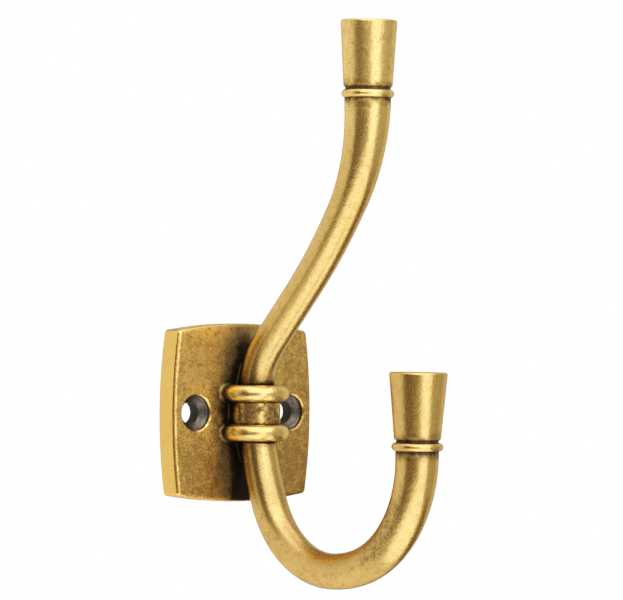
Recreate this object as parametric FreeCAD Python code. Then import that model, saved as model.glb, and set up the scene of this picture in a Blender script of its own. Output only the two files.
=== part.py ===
import FreeCAD, Part
import math
import os

# Double robe hook: a tapering round rod bent into a tall upper arm and a deep lower hook, with a
# turned knob on each end and a two-bead collar at its waist, cast in one piece with a square wall plate.
# Millimetres. The plate's back lies on y = 0, the hook stands out towards -Y, and +Z is up.

# Wall plate: a square with gently bowed sides
PLATE_WIDTH = 38.0
PLATE_HEIGHT = 38.0
PLATE_THICKNESS = 5.2
SIDE_BOW = 1.4
END_BOW = 1.5
PLATE_CORNER_RADIUS = 1.0
FRONT_EDGE_RADIUS = 0.9
BACK_EDGE_BREAK = 0.25

# Screw holes: a broken rim, a sunk seat for the head, a cone and a clear hole for the shank
HOLE_SPACING = 25.7
HOLE_RIM_BREAK = 0.3
HEAD_SEAT_RADIUS = 3.8
HEAD_SEAT_DEPTH = 1.1
CONE_DEPTH = 1.2
SHANK_HOLE_RADIUS = 2.35
CUTTER_OVERRUN = 1.0

# Waist: where the rod runs past the plate, inside a collar with two beads
WAIST_STANDOFF = 4.1
WAIST_HEIGHT = 3.5
COLLAR_RADIUS = 5.2
BEAD_CENTRE_RADIUS = 5.25
BEAD_RADIUS = 1.8
BEAD_HEIGHT = 4.15

# Web: the tapered foot that joins the back of the rod to the plate, with a fillet all round
WEB_HALF_WIDTH = 2.3
WEB_END_HALF_WIDTH = 0.8
WEB_SHOULDER_HEIGHT = 5.0
WEB_END_HEIGHT = 10.2
PLATE_JOIN_FILLET = 0.6

# Upper arm, from the waist up: bends out, runs straight, then curves back to upright
UPPER_FOOT_RADIUS = 17.2
UPPER_RISE_ANGLE = 44.4
UPPER_RUN = 14.5
UPPER_SWEEP_RADIUS = 117.0
UPPER_SWEEP_ANGLE = 10.8
UPPER_SHOULDER_RADIUS = 38.7
UPPER_TIP_LENGTH = 2.6

# Lower arm, from the waist down: leans out, turns through the hook and rises to its knob
LOWER_FOOT_RADIUS = 56.3
LOWER_FOOT_ANGLE = 24.2
LOWER_BEND_RADIUS = 21.8
LOWER_BEND_ANGLE = 66.0
LOWER_SOLE_RADIUS = 33.8
LOWER_SOLE_ANGLE = 14.2
LOWER_RISE_RADIUS = 24.2
LOWER_TIP_LENGTH = 2.4

# Both tips lean outwards by this angle from upright
TIP_LEAN = 0.8

# Rod radius at the waist and where the bends of each arm end
WAIST_ROD_RADIUS = 3.72
UPPER_FOOT_ROD_RADIUS = 3.6
UPPER_RUN_ROD_RADIUS = 3.54
UPPER_SWEEP_ROD_RADIUS = 3.8
UPPER_TIP_ROD_RADIUS = 4.85
LOWER_FOOT_ROD_RADIUS = 3.82
LOWER_BEND_ROD_RADIUS = 3.79
LOWER_SOLE_ROD_RADIUS = 3.86
LOWER_TIP_ROD_RADIUS = 4.48

# How far the rod's straight-sided stretches may cut inside a bend's true curve
BEND_TOLERANCE = 0.03

# How far an edge may stray from a plane and still count as lying on it
FLAT_TOLERANCE = 0.0001

# Knobs: a bead, a narrow groove and a cone that widens to a flat top
KNOB_BEAD_HALF_HEIGHT = 0.88
KNOB_GROOVE_WIDTH = 0.35
KNOB_GROOVE_DEPTH = 0.1
KNOB_LENGTH = 15.2
KNOB_TOP_ROUND = 0.5

# How far each knob's bead and base stand out from the rod, and how far its top flares from its base
UPPER_BEAD_OVERHANG = 0.65
UPPER_BASE_OVERHANG = 0.27
UPPER_TOP_FLARE = 0.78
LOWER_BEAD_OVERHANG = 0.85
LOWER_BASE_OVERHANG = 0.34
LOWER_TOP_FLARE = 1.18

FRONT_Y = -PLATE_THICKNESS
AXIS_Y = FRONT_Y - WAIST_STANDOFF


def vec(x, y, z):
    return FreeCAD.Vector(x, y, z)


def bowed_outline():
    """The plate's outline on y = 0: four arcs that meet at the corners."""
    corner_x = PLATE_WIDTH / 2 - SIDE_BOW
    corner_z = PLATE_HEIGHT / 2 - END_BOW
    top_left = vec(-corner_x, 0, corner_z)
    top_right = vec(corner_x, 0, corner_z)
    low_right = vec(corner_x, 0, -corner_z)
    low_left = vec(-corner_x, 0, -corner_z)
    arcs = [
        Part.Arc(top_left, vec(0, 0, PLATE_HEIGHT / 2), top_right),
        Part.Arc(top_right, vec(PLATE_WIDTH / 2, 0, 0), low_right),
        Part.Arc(low_right, vec(0, 0, -PLATE_HEIGHT / 2), low_left),
        Part.Arc(low_left, vec(-PLATE_WIDTH / 2, 0, 0), top_left),
    ]
    return Part.Wire([arc.toShape() for arc in arcs])


def lies_on_plane(edge, y):
    """Whether an edge lies wholly on the plane at y."""
    box = edge.BoundBox
    return max(abs(box.YMin - y), abs(box.YMax - y)) < FLAT_TOLERANCE


def edges_on_plane(shape, y):
    return [edge for edge in shape.Edges if lies_on_plane(edge, y)]


def corner_edges(shape):
    """The plate's four straight corner edges, which run from back to front."""
    return [edge for edge in shape.Edges if edge.BoundBox.YLength > PLATE_THICKNESS / 2]


def wall_plate():
    slab = Part.Face(bowed_outline()).extrude(vec(0, FRONT_Y, 0))
    slab = slab.makeFillet(PLATE_CORNER_RADIUS, corner_edges(slab))
    slab = slab.makeFillet(FRONT_EDGE_RADIUS, edges_on_plane(slab, FRONT_Y))
    return slab.makeChamfer(BACK_EDGE_BREAK, edges_on_plane(slab, 0.0))


def revolved(profile_edges, axis):
    """A solid turned from a closed profile about an axis through the origin."""
    face = Part.Face(Part.Wire(profile_edges))
    return face.revolve(vec(0, 0, 0), axis, 360)


def line(start, end):
    return Part.LineSegment(start, end).toShape()


def screw_hole_cutter():
    """The space of one screw hole, on the Y axis: broken rim, head seat, cone and shank hole."""
    rim_radius = HEAD_SEAT_RADIUS + HOLE_RIM_BREAK
    seat_y = FRONT_Y + HEAD_SEAT_DEPTH
    points = [
        vec(0, FRONT_Y - CUTTER_OVERRUN, 0),
        vec(rim_radius, FRONT_Y - CUTTER_OVERRUN, 0),
        vec(rim_radius, FRONT_Y, 0),
        vec(HEAD_SEAT_RADIUS, FRONT_Y + HOLE_RIM_BREAK, 0),
        vec(HEAD_SEAT_RADIUS, seat_y, 0),
        vec(SHANK_HOLE_RADIUS, seat_y + CONE_DEPTH, 0),
        vec(SHANK_HOLE_RADIUS, CUTTER_OVERRUN, 0),
        vec(0, CUTTER_OVERRUN, 0),
    ]
    outline = Part.makePolygon(points + points[:1])
    return revolved(outline.Edges, vec(0, 1, 0))


def heading_vector(heading):
    """Unit direction in the hook's plane: 0 degrees is up, 90 degrees is straight out from the wall."""
    angle = math.radians(heading)
    return vec(0, -math.sin(angle), math.cos(angle))


def after_bend(start, heading, radius, turn):
    """Where an arc tangent to heading at start ends after turn degrees, positive outwards from upright."""
    side = math.copysign(90, turn)
    centre = start + heading_vector(heading + side) * radius
    return centre - heading_vector(heading + turn + side) * radius


def bend_steps(radius, turn):
    """How many straight-sided stretches keep a bend within its tolerance."""
    step = 2 * math.acos(1 - BEND_TOLERANCE / radius)
    return math.ceil(math.radians(abs(turn)) / step)


def rod_section(centre, heading, radius):
    """A circle across the rod that starts on its +X side."""
    section = Part.Wire(Part.makeCircle(radius))
    section.rotate(vec(0, 0, 0), vec(1, 0, 0), heading)
    section.translate(centre)
    return section


def lofted_arm(start, heading, pieces):
    """A round rod along tangent bends and straight runs, with its own radius at the end of each."""
    radius = WAIST_ROD_RADIUS
    sections = [rod_section(start, heading, radius)]
    for size, turn, end_radius in pieces:
        steps = bend_steps(size, turn) if turn else 1
        for step in range(1, steps + 1):
            share = step / steps
            if turn:
                centre = after_bend(start, heading, size, turn * share)
            else:
                centre = start + heading_vector(heading) * size
            step_radius = radius + (end_radius - radius) * share
            sections.append(rod_section(centre, heading + turn * share, step_radius))
        start = centre
        heading += turn
        radius = end_radius
    return Part.makeLoft(sections, True, True), start


def upper_arm():
    shoulder_angle = UPPER_RISE_ANGLE - UPPER_SWEEP_ANGLE - TIP_LEAN
    pieces = [
        (UPPER_FOOT_RADIUS, UPPER_RISE_ANGLE, UPPER_FOOT_ROD_RADIUS),
        (UPPER_RUN, 0, UPPER_RUN_ROD_RADIUS),
        (UPPER_SWEEP_RADIUS, -UPPER_SWEEP_ANGLE, UPPER_SWEEP_ROD_RADIUS),
        (UPPER_SHOULDER_RADIUS, -shoulder_angle, UPPER_TIP_ROD_RADIUS),
        (UPPER_TIP_LENGTH, 0, UPPER_TIP_ROD_RADIUS),
    ]
    return lofted_arm(vec(0, AXIS_Y, WAIST_HEIGHT), 0, pieces)


def lower_arm():
    rise_angle = 180 - LOWER_FOOT_ANGLE - LOWER_BEND_ANGLE - LOWER_SOLE_ANGLE - TIP_LEAN
    pieces = [
        (LOWER_FOOT_RADIUS, -LOWER_FOOT_ANGLE, LOWER_FOOT_ROD_RADIUS),
        (LOWER_BEND_RADIUS, -LOWER_BEND_ANGLE, LOWER_BEND_ROD_RADIUS),
        (LOWER_SOLE_RADIUS, -LOWER_SOLE_ANGLE, LOWER_SOLE_ROD_RADIUS),
        (LOWER_RISE_RADIUS, -rise_angle, LOWER_TIP_ROD_RADIUS),
        (LOWER_TIP_LENGTH, 0, LOWER_TIP_ROD_RADIUS),
    ]
    return lofted_arm(vec(0, AXIS_Y, WAIST_HEIGHT), 180, pieces)


def knob(tip, rod_radius, bead_overhang, base_overhang, top_flare):
    """A turned knob whose bead is centred on the rod's tip."""
    bead = KNOB_BEAD_HALF_HEIGHT
    groove_radius = rod_radius - KNOB_GROOVE_DEPTH
    base_radius = rod_radius + base_overhang
    top_radius = base_radius + top_flare
    base_z = bead + KNOB_GROOVE_WIDTH
    side_z = base_z + base_radius - groove_radius
    round_fall = KNOB_TOP_ROUND * (1 - math.sqrt(0.5))
    foot = vec(groove_radius, 0, -bead)
    groove_low = vec(groove_radius, 0, bead)
    groove_high = vec(groove_radius, 0, base_z)
    side_low = vec(base_radius, 0, side_z)
    side_high = vec(top_radius, 0, KNOB_LENGTH - KNOB_TOP_ROUND)
    round_middle = vec(top_radius - round_fall, 0, KNOB_LENGTH - round_fall)
    top_edge = vec(top_radius - KNOB_TOP_ROUND, 0, KNOB_LENGTH)
    top_centre = vec(0, 0, KNOB_LENGTH)
    foot_centre = vec(0, 0, -bead)
    edges = [
        line(foot_centre, foot),
        Part.Arc(foot, vec(rod_radius + bead_overhang, 0, 0), groove_low).toShape(),
        line(groove_low, groove_high),
        line(groove_high, side_low),
        line(side_low, side_high),
        Part.Arc(side_high, round_middle, top_edge).toShape(),
        line(top_edge, top_centre),
        line(top_centre, foot_centre),
    ]
    solid = revolved(edges, vec(0, 0, 1))
    solid.rotate(vec(0, 0, 0), vec(1, 0, 0), TIP_LEAN)
    solid.translate(tip)
    return solid


def beaded_collar():
    """The sleeve around the waist with a bead at each end."""
    sleeve = Part.makeCylinder(COLLAR_RADIUS, 2 * BEAD_HEIGHT, vec(0, AXIS_Y, -BEAD_HEIGHT))
    for height in (-BEAD_HEIGHT, BEAD_HEIGHT):
        bead = Part.makeTorus(BEAD_CENTRE_RADIUS, BEAD_RADIUS, vec(0, AXIS_Y, height))
        sleeve = sleeve.fuse(bead)
    return sleeve


def plate_web():
    """The foot behind the rod, from inside the plate to the rod's axis."""
    quarter = [(WEB_HALF_WIDTH, WEB_SHOULDER_HEIGHT), (WEB_END_HALF_WIDTH, WEB_END_HEIGHT)]
    right = [(x, -z) for x, z in reversed(quarter)] + quarter
    left = [(-x, z) for x, z in reversed(right)]
    root_y = FRONT_Y / 2
    corners = [vec(x, root_y, z) for x, z in right + left]
    outline = Part.makePolygon(corners + corners[:1])
    return Part.Face(outline).extrude(vec(0, AXIS_Y - root_y, 0))


def foot_edges(shape):
    """The edges on the plate's front that run round the foot of the collar, beads and web."""
    reach_x = BEAD_CENTRE_RADIUS + BEAD_RADIUS
    reach_z = max(WEB_END_HEIGHT, BEAD_HEIGHT + BEAD_RADIUS)
    foot = []
    for edge in edges_on_plane(shape, FRONT_Y):
        box = edge.BoundBox
        if max(-box.XMin, box.XMax) < reach_x and max(-box.ZMin, box.ZMax) < reach_z + PLATE_JOIN_FILLET:
            foot.append(edge)
    return foot


def robe_hook():
    upper, upper_tip = upper_arm()
    lower, lower_tip = lower_arm()
    pieces = [
        upper,
        lower,
        beaded_collar(),
        plate_web(),
        knob(upper_tip, UPPER_TIP_ROD_RADIUS, UPPER_BEAD_OVERHANG, UPPER_BASE_OVERHANG, UPPER_TOP_FLARE),
        knob(lower_tip, LOWER_TIP_ROD_RADIUS, LOWER_BEAD_OVERHANG, LOWER_BASE_OVERHANG, LOWER_TOP_FLARE),
    ]
    hook = wall_plate().multiFuse(pieces)
    hook = hook.makeFillet(PLATE_JOIN_FILLET, foot_edges(hook))
    for side in (-1, 1):
        cutter = screw_hole_cutter()
        cutter.translate(vec(side * HOLE_SPACING / 2, 0, 0))
        hook = hook.cut(cutter)
    return hook


def main():
    os.makedirs("parts", exist_ok=True)
    hook = robe_hook()
    print("solids", len(hook.Solids), "valid", hook.isValid(), "volume", round(hook.Volume, 1))
    print("box", hook.BoundBox)
    hook.exportStep(os.path.join("parts", "robe_hook.step"))


main()
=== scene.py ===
import math

import bmesh
import bpy
from mathutils import Matrix, Vector


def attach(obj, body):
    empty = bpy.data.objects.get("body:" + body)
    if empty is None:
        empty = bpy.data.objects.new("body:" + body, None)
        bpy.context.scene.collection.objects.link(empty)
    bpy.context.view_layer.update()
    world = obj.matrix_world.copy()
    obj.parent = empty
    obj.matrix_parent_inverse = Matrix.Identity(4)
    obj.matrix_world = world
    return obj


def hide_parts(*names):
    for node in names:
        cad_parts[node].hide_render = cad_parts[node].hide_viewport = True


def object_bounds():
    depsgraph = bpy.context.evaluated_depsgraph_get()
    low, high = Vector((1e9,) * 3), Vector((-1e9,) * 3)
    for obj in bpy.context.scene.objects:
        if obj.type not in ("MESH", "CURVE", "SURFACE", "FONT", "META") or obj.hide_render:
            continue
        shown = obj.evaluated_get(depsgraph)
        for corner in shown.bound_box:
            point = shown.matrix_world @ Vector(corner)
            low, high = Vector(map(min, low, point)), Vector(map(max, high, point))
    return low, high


# Double robe hook in burnished antique brass, on a plain white studio ground. Metres, in the row frame:
# the plate's back lies on y = 0, the hook stands out towards -Y, and +Z is up.

MM = 0.001
UP = Vector((0, 0, 1))


def mm(*lengths):
    """Lengths in millimetres as metres."""
    return tuple(length * MM for length in lengths)


# Camera, fitted to the plate's outline and the screw holes in the photograph
IMAGE_WIDTH = 623
FOCAL_LENGTH_PX = 4209.1
SENSOR_WIDTH = 36.0
CAMERA_AZIMUTH = 40.398
CAMERA_PITCH = 0.358
CAMERA_ROLL = 0.392
CAMERA_DISTANCE = 901.0 * MM
CAMERA_ASIDE = 17.663 * MM
CAMERA_HEIGHT = 18.472 * MM

# Studio lights. Angles are degrees round the hook seen from above, from the camera to its right.
LIGHT_DISTANCE = 0.9
LIGHT_TINT = (1.0, 0.82, 0.58)
WARM_TINT = (1.0, 0.775, 0.53)

# Upright softboxes: name, angle, spread, lowest and highest elevation, radiance
STANDING_SOFTBOXES = [
    ("key_softbox", 34, 37, -26, 26, 4.4),
    ("fill_softbox", 90, 50, -30, 52, 0.50),
    ("side_softbox", -100, 70, -20, 55, 1.42),
    ("left_rim_softbox", -158, 58, -22, 26, 1.35),
    ("right_rim_softbox", 146, 58, -30, 42, 1.2),
]

# Softbox high in front, and softbox overhead
FRONT_SOFTBOX_ANGLE = 20
FRONT_SOFTBOX_ELEVATION = 40
FRONT_SOFTBOX_SIZE = (1.4, 0.8)
FRONT_SOFTBOX_RADIANCE = 4.3
TOP_SOFTBOX_ANGLE = 25
TOP_SOFTBOX_SHIFT = 0.12
TOP_SOFTBOX_SIZE = (1.2, 1.05)
TOP_SOFTBOX_RADIANCE = 3.2

# Bright square cards on the floor: name, angle, distance, side, radiance, tint
FLOOR_CARDS = [
    ("front_card", 18, 0.36, 0.66, 4.0, LIGHT_TINT),
    ("left_card", -122, 0.53, 0.92, 1.7, WARM_TINT),
]
CARD_LIFT = 2 * MM

# Floor, background, and the dim room that the metal reflects, which brightens near the top
FLOOR_DROP = 0.3
FLOOR_SIZE = 2.0
FLOOR_SHADE_GREY = (0.48, 0.48, 0.48)
WHITE = (1.0, 1.0, 1.0)
BLACK = (0.0, 0.0, 0.0)
BACKGROUND_BRIGHTNESS = 3.0
ROOM_LOW = 0.11
ROOM_HIGH = 0.9
ROOM_FADE_START = 0.55
ROOM_FADE_END = 1.0

# Film response: how bright the picture shows each brightness of the scene, both in linear light
FILM_CURVE = [(0.0, 0.0), (0.14, 0.143), (0.28, 0.27), (0.6, 0.458), (1.06, 0.665), (2.0, 0.90), (3.0, 1.0)]
COMBINED_CURVE = 3

# Skin of the mesh, and the order of its finishes
WELD_DISTANCE = 0.001 * MM
SMOOTH_ANGLE = 32.0
BRASS_FINISH = 0
SEAT_FINISH = 1
BORE_FINISH = 2

# Screw holes: the finish inside them starts a little below the plate's front and ends a little above its back
PLATE_THICKNESS = 5.2 * MM
HOLE_X = 12.85 * MM
HOLE_RIM_RADIUS = 3.82 * MM
HOLE_DEPTH_START = 0.25 * MM
CONE_SLOPE = 0.2

# Finish colours
GOLD_LIGHT = (0.86, 0.58, 0.207)
GOLD = (0.72, 0.47, 0.155)
GOLD_BROWN = (0.44, 0.28, 0.088)
# The next two are painted highlights: on the plate's sides and edge, and on the beads and upper knob.
EDGE_HIGHLIGHT_GOLD = (0.96, 0.575, 0.145)
PAINTED_HIGHLIGHT_GOLD = (1.0, 0.70, 0.243)
ROOT_BROWN = (0.27, 0.185, 0.072)
BEND_BROWN = (0.33, 0.205, 0.080)
PEPPER_BROWN = (0.16, 0.10, 0.035)
PLATE_GOLD = (0.92, 0.568, 0.176)
PLATE_BROWN = (0.32, 0.188, 0.060)
PLATE_SHADE = (0.47, 0.36, 0.18)
# Dark patina, also laid as painted shade; and near black, for patina with a painted shadow of the rod.
PATINA_AND_SHADE_DARK = (0.030, 0.0255, 0.018)
BLACK_PATINA_AND_SHADOW = (0.006, 0.005, 0.004)
BARE_GREY = (0.090, 0.092, 0.102)
BARE_DARK = (0.035, 0.036, 0.040)
BORE_BLACK = (0.008, 0.007, 0.006)

# Patterns in the brass: how large their spots are, and how much of the tone each makes up
SPECKLE_SIZE = 0.38 * MM
BLOTCH_SIZE = 1.5 * MM
CLOUD_SIZE = 9 * MM
PEPPER_SIZE = 0.30 * MM
BLOTCH_SHARE = 0.4
SPECKLE_SHARE = 0.6
MIDDLE_TONE = 0.5
UNEVENNESS = 0.5

# Gloss and relief of the brass, and how they change where the tone is bright and on the upper knob
ROUGH_TONE = (0.30, 0.65)
BRASS_ROUGHNESS = (0.34, 0.25)
KNOB_ROUGHNESS = 0.03
KNOB_ROUGH_UP = mm(66, 69)
FACE_ROUGHNESS = 0.1
RIM_GLOSS = 0.07
PATINA_ROUGHNESS = 0.8
GRAZING_TINT = (0.65, 0.6, 0.55)
LACQUER = 0.2
LACQUER_ROUGHNESS = 0.22
RELIEF_DEPTH = 0.06 * MM
RELIEF_SPECKLE = 0.35
RELIEF_UP = mm(45, 68)
RELIEF_STRENGTHS = (1.0, 1.45)

# Where and how strongly the finish changes. A pair named for a place is a fade in metres: OUT from the wall,
# UP from the plate's middle, LEVEL the same above and below it, ACROSS to the right, ASIDE to either side.
# A pair named TONE, BLOTCH, CLOUD, SPECKS or OPEN is a fade of a pattern. STRENGTHS, TONES and ROUGHNESS
# pairs are what is reached at a fade's two ends.

# Plate's front
FACE_BACK_OUT = mm(4.6, 5.15)
FACE_FRONT_OUT = mm(5.7, 6.7)
PLATE_TONE = (0.36, 0.61)
# Painted shade: the plate's front browner towards the bottom and the right.
LOWER_SHADE_UP = mm(-14, 4)
LOWER_SHADE_TONES = (-0.07, 0.0)
RIGHT_SHADE_ACROSS = mm(5, 13)
RIGHT_SHADE_TONES = (0.0, -0.045)
SHADE_ASIDE = mm(4, 9)
SHADE_STRENGTH = 0.6
SMUDGE_LEVEL = mm(14.5, 17.5)
SMUDGE_BLOTCH = (0.36, 0.50)
SMUDGE_STRENGTH = 0.6

# Dark stripe down the plate's middle: patina behind the rod, with a painted shadow of the rod
STRIPE_ASIDE = mm(0.6, 5.4)
STRIPE_RAGGED = 6 * MM
STRIPE_WIDER_UP = mm(-10, 5)
STRIPE_WIDENING = 1.5 * MM
STRIPE_TOP_UP = mm(19, 13)
STRIPE_STRENGTHS = (0.45, 1.0)

# Plate's sides and rounded edge, painted paler as a highlight
EDGE_OUT = mm(4.8, 5.15)
EDGE_TONE = (0.36, 0.50)
EDGE_STRENGTHS = (0.55, 0.92)
BACK_OUT = mm(0.05, 0.4)
BACK_STRENGTHS = (0.2, 1.0)
HOLE_RING = mm(4.4, 5.2)
HOLE_RING_OUT = mm(2.6, 3.2)
RIM_BACK_OUT = mm(4.1, 4.4)
RIM_FRONT_OUT = mm(5.08, 5.18)

# Waist: collar, beads, the web behind the rod, and the seam round its foot
WAIST_FOOT_OUT = mm(5.3, 5.7)
COLLAR_LEVEL = mm(2.2, 3.0)
COLLAR_OUT = mm(17, 19)
COLLAR_BLOTCH = (0.60, 0.42)
COLLAR_STRENGTHS = (0.05, 0.85)
WEB_LEVEL = mm(5.8, 6.6)
WEB_OUT = mm(10.5, 12)
WEB_ASIDE = mm(2.4, 3.0)
BEAD_INNER_LEVEL = mm(2.4, 2.8)
BEAD_OUTER_LEVEL = mm(6.5, 6.8)
BEAD_BACK_OUT = mm(5.6, 6.2)
BEAD_FRONT_OUT = mm(21, 22)
BEAD_STRENGTH = 0.5
SEAM_BACK_OUT = mm(5.2, 5.3)
SEAM_FRONT_OUT = mm(5.9, 6.4)
SEAM_ASIDE = mm(7.9, 8.4)
SEAM_LEVEL = mm(7.0, 7.4)
SEAM_STRENGTH = 0.85

# Rod
GRAIN_UP = mm(-35, 60)
GRAIN_STRENGTHS = (0.6, 1.0)
GOLD_TONE = (0.36, 0.54)
LIGHT_TONE = (0.52, 0.70)
LIGHT_STRENGTH = 0.8
LIGHT_CLOUD = (0.50, 0.75)
CLOUD_STRENGTH = 0.4
ROOT_BACK_OUT = mm(5.3, 5.6)
ROOT_FRONT_OUT = mm(14, 19)
ROOT_START_LEVEL = mm(6.6, 7.0)
ROOT_END_LEVEL = mm(15, 22)
ROOT_ASIDE = mm(1.2, 3.6)
ROOT_FLANK_STRENGTHS = (0.1, 1.0)
ROOT_STRENGTH = 0.65

# Lower arm: the inside of its bend, its flecks, and its flanks where it turns up
BEND_CENTRE_OUT = 37 * MM
BEND_CENTRE_UP = -10 * MM
BEND_RADIUS = mm(20.0, 22.3)
BEND_STRENGTH = 0.8
FLECK_TONE = (0.39, 0.49)
FLECK_UP = mm(-24, -14)
FLECK_STRENGTH = 0.6
RISE_ASIDE = mm(2.7, 3.7)
RISE_RAGGED = 2 * MM
RISE_OUT = mm(46, 50)
RISE_BOTTOM_UP = mm(-33, -27)
RISE_TOP_UP = mm(-19, -13)
RISE_TONE = (0.62, 0.42)
RISE_STRENGTHS = (0.2, 0.62)

# Knobs: each bead's height and how far out it stands, how far behind the bead its grooves' smudges reach,
# the grooves themselves, the upper knob's painted light, and its dark specks
KNOB_BEADS = [mm(66.5, 44.7), mm(-5.87, 60.7)]
KNOB_REACH = mm(20, 10)
GROOVE_START = mm(0.72, 0.92)
GROOVE_END = mm(0.8, 3.2)
GROOVE_RAGGED = 6 * MM
GROOVE_STRENGTH = 0.98
KNOB_UP = mm(46, 72)
KNOB_TONE = (0.38, 0.57)
KNOB_STRENGTHS = (0.25, 1.0)
PEPPER_UP = mm(52, 66)
PEPPER_SPECKS = (0.54, 0.70)
PEPPER_STRENGTH = 0.5

# Recesses: how wide a crevice is, and how open it is where patina and painted shade fade out. Wide ones add
# painted shade to the patina and hold less on the rod beside the collar, and near-black patina with a painted
# shadow of the rod stays behind it.
TIGHT_CREVICE = 0.9 * MM
TIGHT_OPEN = (0.62, 0.92)
NEAR_CREVICE = 3.2 * MM
NEAR_OPEN = (0.44, 0.94)
WIDE_CREVICE = 13 * MM
WIDE_OPEN = (0.36, 0.86)
BARE_ROOT_BACK_OUT = mm(9.5, 12)
BARE_ROOT_FRONT_OUT = mm(22, 26)
BARE_ROOT_LEVEL = mm(6.6, 7.4)
BARE_ROOT_STRENGTHS = (1.0, 0.3)
# Where the near-black patina and painted shadow of the rod lie.
DARKEST_RECESS = (0.45, 1.0)
DARKEST_OUT = mm(24, 26)
DARKEST_STRENGTH = 0.8
SHELTER_SAMPLES = 16

# Screw holes' bare metal and dark walls
STREAK_SIZE = 1.6 * MM
STREAK_STRETCH = (1, 4, 1)
STREAK_TONE = (0.25, 0.75)
SEAT_CREVICE = 2.5 * MM
SEAT_OPEN = (0.2, 0.6)
SEAT_ROUGH_TONE = (0.3, 0.7)
SEAT_ROUGHNESS = (0.5, 0.38)
BORE_GRIME_SIZE = 0.9 * MM
BORE_ROUGHNESS = 0.9
BORE_SHINE = 0.1


def level_axes():
    """The camera's forward and right directions along the ground."""
    azimuth = math.radians(CAMERA_AZIMUTH)
    forward = Vector((math.sin(azimuth), math.cos(azimuth), 0))
    right = Vector((math.cos(azimuth), -math.sin(azimuth), 0))
    return forward, right


def camera_turn(level, side):
    """The camera's rotation, pitched and rolled from its level directions."""
    pitch = math.radians(CAMERA_PITCH)
    roll = math.radians(CAMERA_ROLL)
    forward = math.cos(pitch) * level + math.sin(pitch) * UP
    above = -math.sin(pitch) * level + math.cos(pitch) * UP
    right = math.cos(roll) * side + math.sin(roll) * above
    top = -math.sin(roll) * side + math.cos(roll) * above
    return Matrix((right, top, -forward)).transposed().to_4x4()


def add_camera():
    level, side = level_axes()
    data = bpy.data.cameras.new("camera")
    data.sensor_width = SENSOR_WIDTH
    data.lens = FOCAL_LENGTH_PX * SENSOR_WIDTH / IMAGE_WIDTH
    camera = bpy.data.objects.new("camera", data)
    place = -CAMERA_DISTANCE * level + CAMERA_ASIDE * side + CAMERA_HEIGHT * UP
    camera.matrix_world = Matrix.Translation(place) @ camera_turn(level, side)
    bpy.context.scene.collection.objects.link(camera)
    bpy.context.scene.camera = camera


def studio_direction(angle):
    """Level direction from the hook at an angle from the camera, positive to the camera's right."""
    level, side = level_axes()
    turn = math.radians(angle)
    return math.sin(turn) * side - math.cos(turn) * level


def add_softbox(name, centre, target, size, radiance, tint=LIGHT_TINT):
    """A camera-hidden area light with an even brightness, facing target."""
    width, height = size
    data = bpy.data.lights.new(name, "AREA")
    data.shape = "RECTANGLE"
    data.color = tint
    data.size = width
    data.size_y = height
    data.energy = radiance * math.pi * width * height
    light = bpy.data.objects.new(name, data)
    light.location = centre
    light.rotation_euler = (centre - target).to_track_quat("Z", "Y").to_euler()
    light.visible_camera = False
    bpy.context.scene.collection.objects.link(light)


def add_standing_softbox(name, target, angle, spread, low, high, radiance):
    """An upright softbox at an angle round the hook, so many degrees wide, from elevation low to high."""
    width = 2 * LIGHT_DISTANCE * math.tan(math.radians(spread / 2))
    bottom = LIGHT_DISTANCE * math.tan(math.radians(low))
    top = LIGHT_DISTANCE * math.tan(math.radians(high))
    foot = studio_direction(angle) * LIGHT_DISTANCE
    middle = UP * (bottom + top) / 2
    add_softbox(name, target + foot + middle, target + middle, (width, top - bottom), radiance)


def add_card(name, target, angle, reach, floor_z, side, radiance, tint):
    """A bright card lying just above the floor, at an angle round the hook."""
    centre = target + studio_direction(angle) * reach
    centre.z = floor_z + CARD_LIFT
    add_softbox(name, centre, centre + UP, (side, side), radiance, tint)


def add_lights(target, floor_z):
    for name, angle, spread, low, high, radiance in STANDING_SOFTBOXES:
        add_standing_softbox(name, target, angle, spread, low, high, radiance)
    tilt = math.radians(FRONT_SOFTBOX_ELEVATION)
    slant = studio_direction(FRONT_SOFTBOX_ANGLE) * math.cos(tilt) + UP * math.sin(tilt)
    front = target + slant * LIGHT_DISTANCE
    add_softbox("front_softbox", front, target, FRONT_SOFTBOX_SIZE, FRONT_SOFTBOX_RADIANCE)
    overhead = target + UP * LIGHT_DISTANCE + studio_direction(TOP_SOFTBOX_ANGLE) * TOP_SOFTBOX_SHIFT
    add_softbox("top_softbox", overhead, target, TOP_SOFTBOX_SIZE, TOP_SOFTBOX_RADIANCE)
    for name, angle, reach, side, radiance, tint in FLOOR_CARDS:
        add_card(name, target, angle, reach, floor_z, side, radiance, tint)


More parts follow.
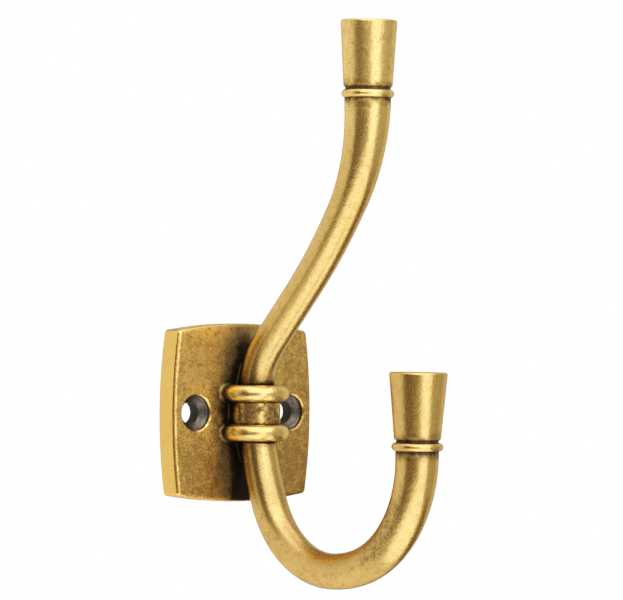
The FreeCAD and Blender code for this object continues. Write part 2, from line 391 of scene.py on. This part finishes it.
def add_world():
    """White for the camera, and a dim room in everything that the metal reflects."""
    world = bpy.data.worlds.new("studio")
    world.use_nodes = True
    nodes = world.node_tree.nodes
    links = world.node_tree.links
    nodes.clear()
    path = nodes.new("ShaderNodeLightPath")
    coords = nodes.new("ShaderNodeTexCoord")
    split = nodes.new("ShaderNodeSeparateXYZ")
    height = nodes.new("ShaderNodeMapRange")
    height.inputs["From Min"].default_value = ROOM_FADE_START
    height.inputs["From Max"].default_value = ROOM_FADE_END
    height.inputs["To Min"].default_value = ROOM_LOW
    height.inputs["To Max"].default_value = ROOM_HIGH
    room = nodes.new("ShaderNodeBackground")
    room.inputs["Color"].default_value = (*LIGHT_TINT, 1)
    white = nodes.new("ShaderNodeBackground")
    white.inputs["Color"].default_value = (*WHITE, 1)
    white.inputs["Strength"].default_value = BACKGROUND_BRIGHTNESS
    mix = nodes.new("ShaderNodeMixShader")
    output = nodes.new("ShaderNodeOutputWorld")
    links.new(coords.outputs["Generated"], split.inputs["Vector"])
    links.new(split.outputs["Z"], height.inputs["Value"])
    links.new(height.outputs["Result"], room.inputs["Strength"])
    links.new(path.outputs["Is Camera Ray"], mix.inputs["Fac"])
    links.new(room.outputs["Background"], mix.inputs[1])
    links.new(white.outputs["Background"], mix.inputs[2])
    links.new(mix.outputs["Shader"], output.inputs["Surface"])
    bpy.context.scene.world = world


def set_film(view):
    """A film-like response, which lets bright reflections run up to a pale yellow."""
    view.view_transform = "Standard"
    view.use_curve_mapping = True
    mapping = view.curve_mapping
    mapping.clip_max_x = FILM_CURVE[-1][0]
    curve = mapping.curves[COMBINED_CURVE]
    curve.points[0].location = FILM_CURVE[0]
    curve.points[1].location = FILM_CURVE[-1]
    for bright, shown in FILM_CURVE[1:-1]:
        curve.points.new(bright, shown)
    mapping.update()


class Graph:
    """Short calls for building one material's node tree."""

    def __init__(self, name):
        self.material = bpy.data.materials.new(name)
        self.material.use_nodes = True
        self.nodes = self.material.node_tree.nodes
        self.links = self.material.node_tree.links
        self.shader = self.nodes["Principled BSDF"]
        self.coords = self.nodes.new("ShaderNodeTexCoord").outputs["Object"]

    def set(self, socket, value):
        """Links a node's output to a socket, or sets the socket to a colour or a number."""
        if isinstance(value, bpy.types.NodeSocket):
            self.links.new(value, socket)
        elif isinstance(value, tuple):
            socket.default_value = (*value, 1)
        else:
            socket.default_value = value

    def shade(self, name, value):
        """Gives one of the shader's inputs a value."""
        self.set(self.shader.inputs[name], value)

    def axis(self, name):
        """One coordinate of the surface point in the row frame, in metres."""
        split = self.nodes.new("ShaderNodeSeparateXYZ")
        self.links.new(self.coords, split.inputs["Vector"])
        return split.outputs[name]

    def noise(self, size, detail, roughness=0.55, stretch=(1, 1, 1)):
        """Cloudy noise, 0 to 1, whose blotches are about size metres across."""
        mapping = self.nodes.new("ShaderNodeMapping")
        mapping.inputs["Scale"].default_value = stretch
        self.links.new(self.coords, mapping.inputs["Vector"])
        node = self.nodes.new("ShaderNodeTexNoise")
        node.inputs["Scale"].default_value = 1 / size
        node.inputs["Detail"].default_value = detail
        node.inputs["Roughness"].default_value = roughness
        self.links.new(mapping.outputs["Vector"], node.inputs["Vector"])
        return node.outputs["Fac"]

    def shelter(self, distance):
        """How open a point is: 1 on open ground, towards 0 in a crevice narrower than distance."""
        node = self.nodes.new("ShaderNodeAmbientOcclusion")
        node.samples = SHELTER_SAMPLES
        node.only_local = True
        node.inputs["Distance"].default_value = distance
        return node.outputs["AO"]

    def math(self, operation, a, b=None):
        node = self.nodes.new("ShaderNodeMath")
        node.operation = operation
        self.set(node.inputs[0], a)
        if b is not None:
            self.set(node.inputs[1], b)
        return node.outputs["Value"]

    def add(self, a, b):
        return self.math("ADD", a, b)

    def minus(self, a, b):
        return self.math("SUBTRACT", a, b)

    def times(self, a, b):
        return self.math("MULTIPLY", a, b)

    def unsigned(self, value):
        """A value without its sign."""
        return self.math("ABSOLUTE", value)

    def length(self, a, b):
        """The distance that two offsets at right angles make up."""
        return self.math("SQRT", self.add(self.times(a, a), self.times(b, b)))

    def both(self, first, *others):
        """The smallest of some masks."""
        for other in others:
            first = self.math("MINIMUM", first, other)
        return first

    def either(self, first, *others):
        """The largest of some masks."""
        for other in others:
            first = self.math("MAXIMUM", first, other)
        return first

    def ramp(self, value, fade, ends):
        """A smooth change from the first of two ends to the second while value runs over a fade."""
        node = self.nodes.new("ShaderNodeMapRange")
        node.interpolation_type = "SMOOTHSTEP"
        self.set(node.inputs["Value"], value)
        node.inputs["From Min"].default_value = fade[0]
        node.inputs["From Max"].default_value = fade[1]
        node.inputs["To Min"].default_value = ends[0]
        node.inputs["To Max"].default_value = ends[1]
        return node.outputs["Result"]

    def above(self, value, fade, most=1.0):
        """0 where value is under a fade, and most where it is over it."""
        return self.ramp(value, fade, (0.0, most))

    def below(self, value, fade, most=1.0):
        """most where value is under a fade, and 0 where it is over it."""
        return self.ramp(value, fade[::-1], (0.0, most))

    def mix(self, factor, a, b):
        """Colour a where factor is 0, and b where it is 1."""
        node = self.nodes.new("ShaderNodeMix")
        node.data_type = "RGBA"
        self.set(node.inputs["Factor"], factor)
        self.set(node.inputs["A"], a)
        self.set(node.inputs["B"], b)
        return node.outputs["Result"]

    def bump(self, height, depth):
        """Raises the surface by height times depth."""
        node = self.nodes.new("ShaderNodeBump")
        node.inputs["Strength"].default_value = 1.0
        node.inputs["Distance"].default_value = depth
        self.set(node.inputs["Height"], height)
        self.shade("Normal", node.outputs["Normal"])


def floor_material():
    """A glowing floor, painted pale grey under the hook as a soft shade, fading into the white of the
    background.
    """
    graph = Graph("pale_floor")
    fade = graph.above(graph.length(graph.axis("X"), graph.axis("Y")), (0.0, FLOOR_SIZE / 2))
    graph.shade("Emission Color", graph.mix(fade, FLOOR_SHADE_GREY, WHITE))
    graph.shade("Emission Strength", BACKGROUND_BRIGHTNESS)
    graph.shade("Base Color", BLACK)
    graph.shade("Specular IOR Level", 0.0)
    return graph.material


def add_floor(floor_z):
    """A plain floor that the camera sees, and that the metal doesn't reflect."""
    mesh = bpy.data.meshes.new("floor")
    half = FLOOR_SIZE / 2
    corners = [(-half, -half, 0), (half, -half, 0), (half, half, 0), (-half, half, 0)]
    mesh.from_pydata(corners, [], [(0, 1, 2, 3)])
    mesh.materials.append(floor_material())
    floor = bpy.data.objects.new("floor", mesh)
    floor.location.z = floor_z
    floor.visible_glossy = False
    floor.visible_shadow = False
    bpy.context.scene.collection.objects.link(floor)


class Brass(Graph):
    """The brass finish's node tree, with the patterns and the distances that it follows."""

    def __init__(self):
        super().__init__("antique_brass_finish")
        self.speckle = self.noise(SPECKLE_SIZE, detail=3, roughness=0.65)
        self.blotch = self.noise(BLOTCH_SIZE, detail=4, roughness=0.6)
        self.cloud = self.noise(CLOUD_SIZE, detail=3)
        self.pepper = self.noise(PEPPER_SIZE, detail=2, roughness=0.5)
        self.tone = self.add(self.times(self.blotch, BLOTCH_SHARE), self.times(self.speckle, SPECKLE_SHARE))
        self.uneven = self.times(self.minus(self.blotch, MIDDLE_TONE), UNEVENNESS)
        self.across = self.axis("X")
        self.out = self.times(self.axis("Y"), -1.0)
        self.up = self.axis("Z")
        self.aside = self.unsigned(self.across)
        self.level = self.unsigned(self.up)
        self.face = self.times(self.above(self.out, FACE_BACK_OUT), self.below(self.out, FACE_FRONT_OUT))

    def ragged(self, distance, spread):
        """A distance made uneven, so that what fades along it has a ragged edge."""
        return self.add(distance, self.times(self.uneven, spread))


def rod_colour(brass):
    """Speckled gold with paler clouds, and more contrast towards the top."""
    contrast = brass.ramp(brass.up, GRAIN_UP, GRAIN_STRENGTHS)
    grain = brass.add(brass.times(brass.minus(brass.tone, MIDDLE_TONE), contrast), MIDDLE_TONE)
    colour = brass.mix(brass.above(grain, GOLD_TONE), GOLD_BROWN, GOLD)
    colour = brass.mix(brass.above(grain, LIGHT_TONE, LIGHT_STRENGTH), colour, GOLD_LIGHT)
    return brass.mix(brass.above(brass.cloud, LIGHT_CLOUD, CLOUD_STRENGTH), colour, GOLD_LIGHT)


def bend_flecks(brass):
    """Brown flecks on the lower bend."""
    return brass.both(brass.below(brass.tone, FLECK_TONE, FLECK_STRENGTH), brass.below(brass.up, FLECK_UP))


def bend_shade(brass):
    """A brown tone on the inside of the lower bend."""
    out = brass.minus(brass.out, BEND_CENTRE_OUT)
    up = brass.minus(brass.up, BEND_CENTRE_UP)
    return brass.below(brass.length(out, up), BEND_RADIUS, BEND_STRENGTH)


def root_shade(brass):
    """A duller tone on both flanks of the rod where it stands close to the plate."""
    close = brass.both(brass.above(brass.out, ROOT_BACK_OUT), brass.below(brass.out, ROOT_FRONT_OUT),
                       brass.above(brass.level, ROOT_START_LEVEL), brass.below(brass.level, ROOT_END_LEVEL))
    flank = brass.ramp(brass.aside, ROOT_ASIDE, ROOT_FLANK_STRENGTHS)
    return brass.times(brass.both(close, flank), ROOT_STRENGTH)


def bead_painted_highlight(brass):
    """Painted highlight: the two beads of the waist painted paler than the rod."""
    bead = brass.both(brass.above(brass.level, BEAD_INNER_LEVEL), brass.below(brass.level, BEAD_OUTER_LEVEL),
                      brass.above(brass.out, BEAD_BACK_OUT), brass.below(brass.out, BEAD_FRONT_OUT))
    return brass.times(bead, BEAD_STRENGTH)


def knob_painted_light(brass):
    """Painted light: the upper arm and knob painted paler towards the top, as if nearer a lamp."""
    return brass.both(brass.above(brass.up, KNOB_UP), brass.ramp(brass.tone, KNOB_TONE, KNOB_STRENGTHS))


def knob_pepper(brass):
    """Fine dark specks on the upper knob."""
    specks = brass.above(brass.pepper, PEPPER_SPECKS, PEPPER_STRENGTH)
    return brass.both(specks, brass.above(brass.up, PEPPER_UP))


def plate_colour(brass):
    """Mottled gold with painted shade: browner at the bottom and on the right, and duller beside the rod."""
    shaded_tone = brass.add(brass.tone, brass.ramp(brass.up, LOWER_SHADE_UP, LOWER_SHADE_TONES))
    shaded_tone = brass.add(shaded_tone, brass.ramp(brass.across, RIGHT_SHADE_ACROSS, RIGHT_SHADE_TONES))
    colour = brass.mix(brass.above(shaded_tone, PLATE_TONE), PLATE_BROWN, PLATE_GOLD)
    return brass.mix(brass.below(brass.aside, SHADE_ASIDE, SHADE_STRENGTH), colour, PLATE_SHADE)


def plate_edge_highlight(brass):
    """Painted highlight on the plate's sides and rounded edge, clear of the screw holes' rims, and faint on
    its back.
    """
    from_hole = brass.length(brass.minus(brass.aside, HOLE_X), brass.up)
    clear_of_holes = brass.either(brass.above(from_hole, HOLE_RING), brass.below(brass.out, HOLE_RING_OUT))
    return brass.both(brass.below(brass.out, EDGE_OUT), brass.ramp(brass.tone, EDGE_TONE, EDGE_STRENGTHS),
                      clear_of_holes, brass.ramp(brass.out, BACK_OUT, BACK_STRENGTHS))


def polished_colour(brass):
    """The brass under its patina and the painted shade laid with it."""
    colour = rod_colour(brass)
    colour = brass.mix(bend_flecks(brass), colour, BEND_BROWN)
    colour = brass.mix(bend_shade(brass), colour, BEND_BROWN)
    colour = brass.mix(root_shade(brass), colour, ROOT_BROWN)
    colour = brass.mix(bead_painted_highlight(brass), colour, PAINTED_HIGHLIGHT_GOLD)
    colour = brass.mix(knob_painted_light(brass), colour, PAINTED_HIGHLIGHT_GOLD)
    colour = brass.mix(knob_pepper(brass), colour, PEPPER_BROWN)
    colour = brass.mix(brass.face, colour, plate_colour(brass))
    return brass.mix(plate_edge_highlight(brass), colour, EDGE_HIGHLIGHT_GOLD)


def bare_root(brass):
    """1 on the rod just above and below the collar, clear of the web behind it."""
    return brass.both(brass.above(brass.out, BARE_ROOT_BACK_OUT), brass.below(brass.out, BARE_ROOT_FRONT_OUT),
                      brass.above(brass.level, BARE_ROOT_LEVEL))


def dark_stripe_patina_and_shadow(brass):
    """1 along the plate's middle: patina that the rod keeps from being polished, and a painted shadow of the
    rod.
    """
    widening = brass.below(brass.up, STRIPE_WIDER_UP, STRIPE_WIDENING)
    aside = brass.minus(brass.ragged(brass.aside, STRIPE_RAGGED), widening)
    fade = brass.ramp(brass.up, STRIPE_TOP_UP, STRIPE_STRENGTHS)
    return brass.times(brass.face, brass.times(brass.below(aside, STRIPE_ASIDE), fade))


def patina_and_painted_shade(brass):
    """1 in crevices, where patina stays, and in wide crevices and behind the rod, where painted shade is
    added to the patina.
    """
    tight = brass.below(brass.shelter(TIGHT_CREVICE), TIGHT_OPEN)
    near = brass.below(brass.add(brass.shelter(NEAR_CREVICE), brass.uneven), NEAR_OPEN)
    wide = brass.below(brass.add(brass.shelter(WIDE_CREVICE), brass.uneven), WIDE_OPEN)
    wide = brass.times(wide, brass.ramp(bare_root(brass), (0.0, 1.0), BARE_ROOT_STRENGTHS))
    return brass.either(near, wide, tight, dark_stripe_patina_and_shadow(brass))


def waist_patina_and_shade(brass):
    """Patchy patina on the collar between the beads, and painted shade on the web behind the rod."""
    collar = brass.both(brass.below(brass.level, COLLAR_LEVEL), brass.below(brass.out, COLLAR_OUT))
    collar = brass.times(collar, brass.ramp(brass.blotch, COLLAR_BLOTCH, COLLAR_STRENGTHS))
    web = brass.both(brass.above(brass.level, WEB_LEVEL), brass.below(brass.out, WEB_OUT),
                     brass.below(brass.aside, WEB_ASIDE))
    return brass.both(brass.either(collar, web), brass.above(brass.out, WAIST_FOOT_OUT))


def foot_seam_patina_and_shade(brass):
    """The dark seam where the collar and its beads run into the plate: patina with painted shade."""
    seam = brass.both(brass.above(brass.out, SEAM_BACK_OUT), brass.below(brass.out, SEAM_FRONT_OUT),
                      brass.below(brass.aside, SEAM_ASIDE), brass.below(brass.level, SEAM_LEVEL))
    return brass.times(seam, SEAM_STRENGTH)


def plate_grime(brass):
    """Brown smudges on the plate's front along its top and bottom edges."""
    edge = brass.both(brass.face, brass.above(brass.level, SMUDGE_LEVEL))
    return brass.times(edge, brass.below(brass.blotch, SMUDGE_BLOTCH, SMUDGE_STRENGTH))


def knob_grime(brass, bead_up, bead_out):
    """Dark smudges in the grooves above and below a knob's bead."""
    away = brass.unsigned(brass.minus(brass.up, bead_up))
    at_knob = (bead_out - KNOB_REACH[0], bead_out - KNOB_REACH[1])
    return brass.both(brass.above(away, GROOVE_START), brass.above(brass.out, at_knob),
                      brass.below(brass.ragged(away, GROOVE_RAGGED), GROOVE_END, GROOVE_STRENGTH))


def rise_patina_and_shade(brass):
    """Brown smudges on the flanks of the lower arm where it turns up: patina, and painted shade darkening its
    reflection band.
    """
    flank = brass.above(brass.ragged(brass.aside, RISE_RAGGED), RISE_ASIDE)
    rise = brass.both(flank, brass.above(brass.out, RISE_OUT),
                      brass.above(brass.up, RISE_BOTTOM_UP), brass.below(brass.up, RISE_TOP_UP))
    return brass.times(rise, brass.ramp(brass.tone, RISE_TONE, RISE_STRENGTHS))


def brass_roughness(brass, patina):
    """Glossier where the brass is bright and along the plate's rim, and dull under patina and painted shade.
    """
    rim = brass.both(brass.above(brass.out, RIM_BACK_OUT), brass.below(brass.out, RIM_FRONT_OUT))
    rough = brass.ramp(brass.tone, ROUGH_TONE, BRASS_ROUGHNESS)
    rough = brass.add(rough, brass.above(brass.up, KNOB_ROUGH_UP, KNOB_ROUGHNESS))
    rough = brass.add(rough, brass.times(brass.face, FACE_ROUGHNESS))
    rough = brass.minus(rough, brass.times(rim, RIM_GLOSS))
    return brass.either(rough, brass.times(patina, PATINA_ROUGHNESS))


def brass_relief(brass):
    """Shallow pits and bumps, deeper on the upper knob."""
    relief = brass.add(brass.blotch, brass.times(brass.speckle, RELIEF_SPECKLE))
    return brass.times(relief, brass.ramp(brass.up, RELIEF_UP, RELIEF_STRENGTHS))


def antique_brass():
    """Burnished gold with fine brown speckle, paler in patches, painted paler as a highlight on the beads,
    upper knob and plate edge, and near black in the recesses from patina and painted shade.
    """
    brass = Brass()
    # Patina in the crevices, with painted shade in the wide ones and behind the rod.
    patina_and_shade_recess = patina_and_painted_shade(brass)
    # Near black where the crevice mask is strongest, near the plate: patina with a painted shadow of the rod.
    darkest_patina_and_shadow = brass.both(brass.above(patina_and_shade_recess, DARKEST_RECESS, DARKEST_STRENGTH), brass.below(brass.out, DARKEST_OUT))
    grooves = [knob_grime(brass, bead_up, bead_out) for bead_up, bead_out in KNOB_BEADS]
    # Patina in hollows and grooves, with painted shade mixed in from the recesses, waist, foot seam and lower
    # arm.
    patina = brass.either(patina_and_shade_recess, waist_patina_and_shade(brass), foot_seam_patina_and_shade(brass), *grooves,
                          rise_patina_and_shade(brass), plate_grime(brass))
    colour = brass.mix(patina, polished_colour(brass), PATINA_AND_SHADE_DARK)
    brass.shade("Base Color", brass.mix(darkest_patina_and_shadow, colour, BLACK_PATINA_AND_SHADOW))
    brass.shade("Roughness", brass_roughness(brass, patina))
    brass.shade("Metallic", 1.0)
    brass.shade("Specular Tint", GRAZING_TINT)
    brass.shade("Coat Weight", LACQUER)
    brass.shade("Coat Roughness", LACQUER_ROUGHNESS)
    brass.bump(brass_relief(brass), RELIEF_DEPTH)
    return brass.material


def bare_seat():
    """The dull grey metal inside the screw holes, with streaks round the cone and painted shade in its tight
    corners.
    """
    graph = Graph("bare_metal_seat")
    streak = graph.noise(STREAK_SIZE, detail=3, roughness=0.6, stretch=STREAK_STRETCH)
    colour = graph.mix(graph.above(streak, STREAK_TONE), BARE_DARK, BARE_GREY)
    # Painted shade where the hole's cone is most enclosed.
    colour = graph.mix(graph.below(graph.shelter(SEAT_CREVICE), SEAT_OPEN), colour, PATINA_AND_SHADE_DARK)
    graph.shade("Base Color", colour)
    graph.shade("Roughness", graph.ramp(streak, SEAT_ROUGH_TONE, SEAT_ROUGHNESS))
    graph.shade("Metallic", 1.0)
    return graph.material


def dark_bore():
    """The near-black walls of the screw holes."""
    graph = Graph("dark_bore")
    grime = graph.noise(BORE_GRIME_SIZE, detail=3, roughness=0.6)
    graph.shade("Base Color", graph.mix(grime, BORE_BLACK, BARE_DARK))
    graph.shade("Roughness", BORE_ROUGHNESS)
    graph.shade("Specular IOR Level", BORE_SHINE)
    return graph.material


def finish_of(face):
    """Which finish a facet has: the brass skin, the cone of a screw hole or its upright walls."""
    centre = face.calc_center_median()
    from_hole = math.hypot(abs(centre.x) - HOLE_X, centre.z)
    inside_plate = HOLE_DEPTH_START < -centre.y < PLATE_THICKNESS - HOLE_DEPTH_START
    if from_hole > HOLE_RIM_RADIUS or not inside_plate:
        return BRASS_FINISH
    return SEAT_FINISH if abs(face.normal.y) > CONE_SLOPE else BORE_FINISH


def smooth_skin(mesh):
    """Welds a mesh into one smooth skin with sharp creases, and gives each facet its finish."""
    surface = bmesh.new()
    surface.from_mesh(mesh)
    bmesh.ops.remove_doubles(surface, verts=surface.verts, dist=WELD_DISTANCE)
    for face in surface.faces:
        face.smooth = True
        face.material_index = finish_of(face)
    for edge in surface.edges:
        edge.smooth = edge.calc_face_angle(0) < math.radians(SMOOTH_ANGLE)
    surface.to_mesh(mesh)
    surface.free()


def finished_hook(node):
    """The cast hook with one welded, smooth skin and its three finishes."""
    mesh = node.data.copy()
    mesh.name = "finished_hook"
    mesh.materials.clear()
    mesh.materials.append(antique_brass())
    mesh.materials.append(bare_seat())
    mesh.materials.append(dark_bore())
    smooth_skin(mesh)
    hook = bpy.data.objects.new("finished_hook", mesh)
    bpy.context.scene.collection.objects.link(hook)
    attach(hook, "root")
    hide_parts("robe_hook")


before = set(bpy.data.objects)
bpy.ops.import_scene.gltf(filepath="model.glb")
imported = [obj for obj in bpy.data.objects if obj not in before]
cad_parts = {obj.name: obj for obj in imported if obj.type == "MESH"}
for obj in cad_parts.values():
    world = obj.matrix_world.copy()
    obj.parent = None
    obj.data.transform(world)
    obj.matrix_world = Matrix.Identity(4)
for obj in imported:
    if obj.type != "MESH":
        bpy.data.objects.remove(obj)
cad_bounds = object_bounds()
low, high = cad_bounds
target = (low + high) / 2

set_film(bpy.context.scene.view_settings)
finished_hook(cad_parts["robe_hook"])
add_camera()
add_world()
add_lights(target, low.z - FLOOR_DROP)
add_floor(low.z - FLOOR_DROP)
